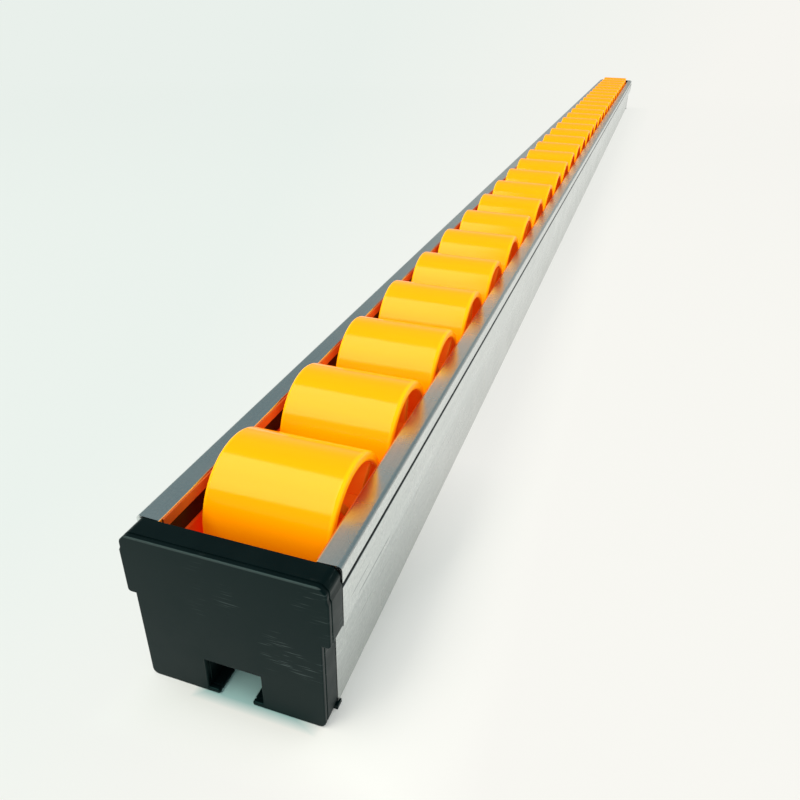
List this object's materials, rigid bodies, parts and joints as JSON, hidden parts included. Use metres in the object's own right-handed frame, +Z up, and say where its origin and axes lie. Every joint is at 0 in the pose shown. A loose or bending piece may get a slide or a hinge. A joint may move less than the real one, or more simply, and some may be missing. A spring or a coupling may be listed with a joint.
{
  "type": "flow rack roller track",
  "caption": "Gravity flow lane: an aluminium channel with free-turning orange rollers on steel pins, black end caps and a T-slot along the underside.",
  "frame": {"origin": "middle of the underside, on the face the track rests on", "axes": "+Y along the track from front cap to rear cap, +X to the right, +Z up out of the rollers"},
  "size_m": [0.04, 0.9854, 0.0389],
  "materials": {
    "mill_aluminium": "mill-finish extrusion with fine lengthwise lines and light scratches",
    "orange_roller": "smooth moulded plastic, satin gloss",
    "orange_carrier": "moulded plastic strip, satin",
    "black_strip": "extruded black plastic strip, satin",
    "black_cap": "injection-moulded black plastic, satin, lightly scuffed",
    "steel_pin": "drawn steel pin"
  },
  "bodies": {
    "track": {"channel": "mill_aluminium", "left_axle_carrier": "orange_carrier", "right_axle_carrier": "orange_carrier", "left_retainer": "black_strip", "right_retainer": "black_strip", "front_end_cap": "black_cap", "rear_end_cap": "black_cap", "axle_pins": "steel_pin"},
    "roller_01_wheel": {"roller_01": "orange_roller"},
    "roller_02_wheel": {"roller_02": "orange_roller"},
    "roller_03_wheel": {"roller_03": "orange_roller"},
    "roller_04_wheel": {"roller_04": "orange_roller"},
    "roller_05_wheel": {"roller_05": "orange_roller"},
    "roller_06_wheel": {"roller_06": "orange_roller"},
    "roller_07_wheel": {"roller_07": "orange_roller"},
    "roller_08_wheel": {"roller_08": "orange_roller"},
    "roller_09_wheel": {"roller_09": "orange_roller"},
    "roller_10_wheel": {"roller_10": "orange_roller"},
    "roller_11_wheel": {"roller_11": "orange_roller"},
    "roller_12_wheel": {"roller_12": "orange_roller"},
    "roller_13_wheel": {"roller_13": "orange_roller"},
    "roller_14_wheel": {"roller_14": "orange_roller"},
    "roller_15_wheel": {"roller_15": "orange_roller"},
    "roller_16_wheel": {"roller_16": "orange_roller"},
    "roller_17_wheel": {"roller_17": "orange_roller"},
    "roller_18_wheel": {"roller_18": "orange_roller"},
    "roller_19_wheel": {"roller_19": "orange_roller"},
    "roller_20_wheel": {"roller_20": "orange_roller"},
    "roller_21_wheel": {"roller_21": "orange_roller"},
    "roller_22_wheel": {"roller_22": "orange_roller"},
    "roller_23_wheel": {"roller_23": "orange_roller"},
    "roller_24_wheel": {"roller_24": "orange_roller"},
    "roller_25_wheel": {"roller_25": "orange_roller"},
    "roller_26_wheel": {"roller_26": "orange_roller"},
    "roller_27_wheel": {"roller_27": "orange_roller"},
    "roller_28_wheel": {"roller_28": "orange_roller"},
    "roller_29_wheel": {"roller_29": "orange_roller"},
    "roller_30_wheel": {"roller_30": "orange_roller"}
  },
  "joints": [
    {"name": "roller_01_spin", "type": "hinge", "parent": "track", "child": "roller_01_wheel", "pos_m": [0, -0.464, 0.0249], "axis": [1, 0, 0], "continuous": true},
    {"name": "roller_02_spin", "type": "hinge", "parent": "track", "child": "roller_02_wheel", "pos_m": [0, -0.432, 0.0249], "axis": [1, 0, 0], "continuous": true},
    {"name": "roller_03_spin", "type": "hinge", "parent": "track", "child": "roller_03_wheel", "pos_m": [0, -0.4, 0.0249], "axis": [1, 0, 0], "continuous": true},
    {"name": "roller_04_spin", "type": "hinge", "parent": "track", "child": "roller_04_wheel", "pos_m": [0, -0.368, 0.0249], "axis": [1, 0, 0], "continuous": true},
    {"name": "roller_05_spin", "type": "hinge", "parent": "track", "child": "roller_05_wheel", "pos_m": [0, -0.336, 0.0249], "axis": [1, 0, 0], "continuous": true},
    {"name": "roller_06_spin", "type": "hinge", "parent": "track", "child": "roller_06_wheel", "pos_m": [0, -0.304, 0.0249], "axis": [1, 0, 0], "continuous": true},
    {"name": "roller_07_spin", "type": "hinge", "parent": "track", "child": "roller_07_wheel", "pos_m": [0, -0.272, 0.0249], "axis": [1, 0, 0], "continuous": true},
    {"name": "roller_08_spin", "type": "hinge", "parent": "track", "child": "roller_08_wheel", "pos_m": [0, -0.24, 0.0249], "axis": [1, 0, 0], "continuous": true},
    {"name": "roller_09_spin", "type": "hinge", "parent": "track", "child": "roller_09_wheel", "pos_m": [0, -0.208, 0.0249], "axis": [1, 0, 0], "continuous": true},
    {"name": "roller_10_spin", "type": "hinge", "parent": "track", "child": "roller_10_wheel", "pos_m": [0, -0.176, 0.0249], "axis": [1, 0, 0], "continuous": true},
    {"name": "roller_11_spin", "type": "hinge", "parent": "track", "child": "roller_11_wheel", "pos_m": [0, -0.144, 0.0249], "axis": [1, 0, 0], "continuous": true},
    {"name": "roller_12_spin", "type": "hinge", "parent": "track", "child": "roller_12_wheel", "pos_m": [0, -0.112, 0.0249], "axis": [1, 0, 0], "continuous": true},
    {"name": "roller_13_spin", "type": "hinge", "parent": "track", "child": "roller_13_wheel", "pos_m": [0, -0.08, 0.0249], "axis": [1, 0, 0], "continuous": true},
    {"name": "roller_14_spin", "type": "hinge", "parent": "track", "child": "roller_14_wheel", "pos_m": [0, -0.048, 0.0249], "axis": [1, 0, 0], "continuous": true},
    {"name": "roller_15_spin", "type": "hinge", "parent": "track", "child": "roller_15_wheel", "pos_m": [0, -0.016, 0.0249], "axis": [1, 0, 0], "continuous": true},
    {"name": "roller_16_spin", "type": "hinge", "parent": "track", "child": "roller_16_wheel", "pos_m": [0, 0.016, 0.0249], "axis": [1, 0, 0], "continuous": true},
    {"name": "roller_17_spin", "type": "hinge", "parent": "track", "child": "roller_17_wheel", "pos_m": [0, 0.048, 0.0249], "axis": [1, 0, 0], "continuous": true},
    {"name": "roller_18_spin", "type": "hinge", "parent": "track", "child": "roller_18_wheel", "pos_m": [0, 0.08, 0.0249], "axis": [1, 0, 0], "continuous": true},
    {"name": "roller_19_spin", "type": "hinge", "parent": "track", "child": "roller_19_wheel", "pos_m": [0, 0.112, 0.0249], "axis": [1, 0, 0], "continuous": true},
    {"name": "roller_20_spin", "type": "hinge", "parent": "track", "child": "roller_20_wheel", "pos_m": [0, 0.144, 0.0249], "axis": [1, 0, 0], "continuous": true},
    {"name": "roller_21_spin", "type": "hinge", "parent": "track", "child": "roller_21_wheel", "pos_m": [0, 0.176, 0.0249], "axis": [1, 0, 0], "continuous": true},
    {"name": "roller_22_spin", "type": "hinge", "parent": "track", "child": "roller_22_wheel", "pos_m": [0, 0.208, 0.0249], "axis": [1, 0, 0], "continuous": true},
    {"name": "roller_23_spin", "type": "hinge", "parent": "track", "child": "roller_23_wheel", "pos_m": [0, 0.24, 0.0249], "axis": [1, 0, 0], "continuous": true},
    {"name": "roller_24_spin", "type": "hinge", "parent": "track", "child": "roller_24_wheel", "pos_m": [0, 0.272, 0.0249], "axis": [1, 0, 0], "continuous": true},
    {"name": "roller_25_spin", "type": "hinge", "parent": "track", "child": "roller_25_wheel", "pos_m": [0, 0.304, 0.0249], "axis": [1, 0, 0], "continuous": true},
    {"name": "roller_26_spin", "type": "hinge", "parent": "track", "child": "roller_26_wheel", "pos_m": [0, 0.336, 0.0249], "axis": [1, 0, 0], "continuous": true},
    {"name": "roller_27_spin", "type": "hinge", "parent": "track", "child": "roller_27_wheel", "pos_m": [0, 0.368, 0.0249], "axis": [1, 0, 0], "continuous": true},
    {"name": "roller_28_spin", "type": "hinge", "parent": "track", "child": "roller_28_wheel", "pos_m": [0, 0.4, 0.0249], "axis": [1, 0, 0], "continuous": true},
    {"name": "roller_29_spin", "type": "hinge", "parent": "track", "child": "roller_29_wheel", "pos_m": [0, 0.432, 0.0249], "axis": [1, 0, 0], "continuous": true},
    {"name": "roller_30_spin", "type": "hinge", "parent": "track", "child": "roller_30_wheel", "pos_m": [0, 0.464, 0.0249], "axis": [1, 0, 0], "continuous": true}
  ]
}
